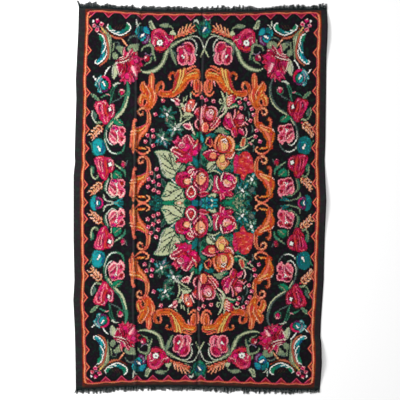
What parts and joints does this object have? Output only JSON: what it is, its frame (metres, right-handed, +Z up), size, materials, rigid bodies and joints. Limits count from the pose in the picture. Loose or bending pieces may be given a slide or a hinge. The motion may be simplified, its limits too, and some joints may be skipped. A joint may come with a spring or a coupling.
{
  "type": "karabagh rug",
  "caption": "Flat-woven floral kilim lying on the floor, with a scalloped border, soft fold ridges along it and a warp fringe at each end.",
  "frame": {"origin": "on the floor, under the middle of the rug's box", "axes": "+X across the rug, +Y along it towards the end that is uppermost in the picture, +Z up from the floor"},
  "size_m": [2.0348, 3.1422, 0.0159],
  "materials": {
    "woven_wool": "matt flat-woven wool, black ground with a many-coloured flower pattern",
    "fringe_wool": "matt twisted wool, dark green-black"
  },
  "bodies": {
    "root": {"woven_sheet": "woven_wool", "fringe_top": "fringe_wool", "fringe_bottom": "fringe_wool"}
  },
  "joints": []
}
